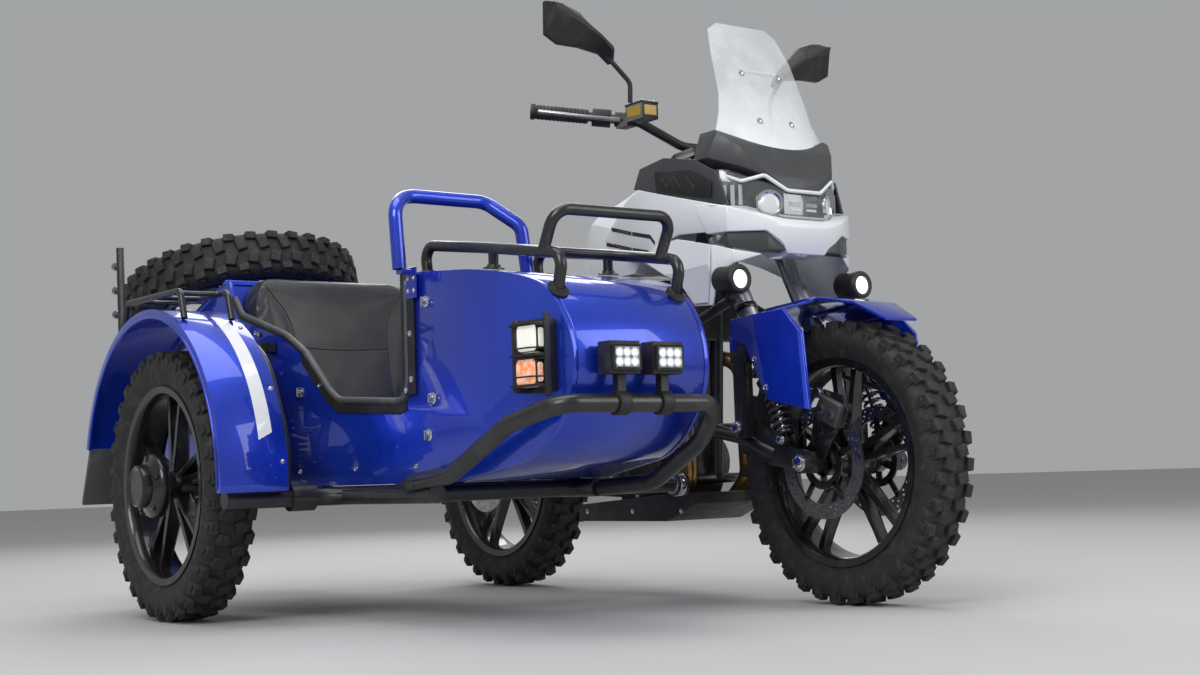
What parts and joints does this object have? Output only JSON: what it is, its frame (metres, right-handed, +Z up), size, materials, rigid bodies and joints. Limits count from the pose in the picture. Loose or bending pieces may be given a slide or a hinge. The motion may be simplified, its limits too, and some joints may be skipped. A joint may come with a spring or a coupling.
{
  "type": "sidecar motorcycle",
  "caption": "Three-wheeled sidecar motorcycle with leading-link fork, tall windshield, cast wheels, open sidecar with nose rack, and a spare wheel on a hinged boot lid.",
  "frame": {"origin": "middle of the vehicle's footprint box, on the ground", "axes": "+X forward, +Y to the rider's left, +Z up"},
  "size_m": [2.2835, 1.771, 1.4882],
  "materials": {
    "black_tube": "satin",
    "engine_metal": "cast",
    "chain_steel": "oiled",
    "bronze_pipe": "heat tinted",
    "black_plastic": "grained",
    "spring_steel": "satin",
    "black_alloy": "satin",
    "blue_paint": "metallic gloss",
    "white_paint": "gloss",
    "lamp_glass": "clear",
    "grey_plastic": "satin",
    "clear_screen": "clear",
    "seat_leather": "grained",
    "lamp_housing": "satin",
    "marker_lens": "lens",
    "tyre": "matt",
    "disc_steel": "brushed",
    "black_trim": "satin",
    "blue_tube": "gloss",
    "floor_liner": "ribbed"
  },
  "bodies": {
    "chassis": {"frame": "black_tube", "engine": "engine_metal", "drive_chain": "chain_steel", "exhaust": "bronze_pipe", "belly_pan": "black_plastic", "swingarm": "black_tube", "rear_shock": "spring_steel", "fuel_tank": "white_paint", "side_shrouds": "white_paint", "nose_cowl": "white_paint", "headlamp": "lamp_glass", "dash_cowl": "grey_plastic", "windshield": "clear_screen", "rider_seat": "seat_leather", "tail_unit": "black_plastic", "auxiliary_lamps": "lamp_housing", "marker_lamps": "marker_lens", "cockpit_trim": "black_trim", "sidecar_cushions": "seat_leather", "grab_hoop": "blue_tube", "luggage_racks": "black_tube", "light_bar": "black_tube", "sidecar_frame": "black_tube", "mudguard_stays": "black_tube", "sidecar_suspension": "spring_steel", "sidecar_mudguard": "blue_paint", "sidecar_outer_panel": "blue_paint", "sidecar_inner_panel": "blue_paint", "sidecar_nose_skin": "blue_paint", "sidecar_floor": "floor_liner", "sidecar_bulkheads": "blue_paint"},
    "boot_lid": {"trunk_lid": "blue_paint", "spare_carrier": "black_tube", "spare_tyre": "tyre", "spare_rim": "black_alloy"},
    "steering": {"front_fork": "black_tube", "front_links": "black_tube", "front_calipers": "black_alloy", "front_shocks": "spring_steel", "front_mudguard": "blue_paint", "handlebar": "black_tube", "hand_controls": "black_plastic", "mirrors": "black_plastic"},
    "front_wheel": {"front_tyre": "tyre", "front_rim": "black_alloy", "front_discs": "disc_steel"},
    "rear_wheel": {"rear_tyre": "tyre", "rear_rim": "black_alloy", "rear_sprocket": "disc_steel"},
    "sidecar_wheel": {"sidecar_tyre": "tyre", "sidecar_rim": "black_alloy"}
  },
  "joints": [
    {"name": "steering_head", "type": "hinge", "parent": "chassis", "child": "steering", "pos_m": [0.288, 0.412, 1.13], "axis": [-0.454, 0, 0.891], "range_deg": [-30, 30]},
    {"name": "front_wheel_spin", "type": "hinge", "parent": "steering", "child": "front_wheel", "pos_m": [0.815, 0.412, 0.33], "axis": [0, 1, 0], "continuous": true},
    {"name": "rear_wheel_spin", "type": "hinge", "parent": "chassis", "child": "rear_wheel", "pos_m": [-0.626, 0.412, 0.33], "axis": [0, 1, 0], "continuous": true},
    {"name": "sidecar_wheel_spin", "type": "hinge", "parent": "chassis", "child": "sidecar_wheel", "pos_m": [-0.31, -0.767, 0.33], "axis": [0, 1, 0], "continuous": true},
    {"name": "boot_lid_hinge", "type": "hinge", "parent": "chassis", "child": "boot_lid", "pos_m": [-0.50224, -0.293, 0.85057], "axis": [0, 1, 0], "range_deg": [0, 45]}
  ]
}
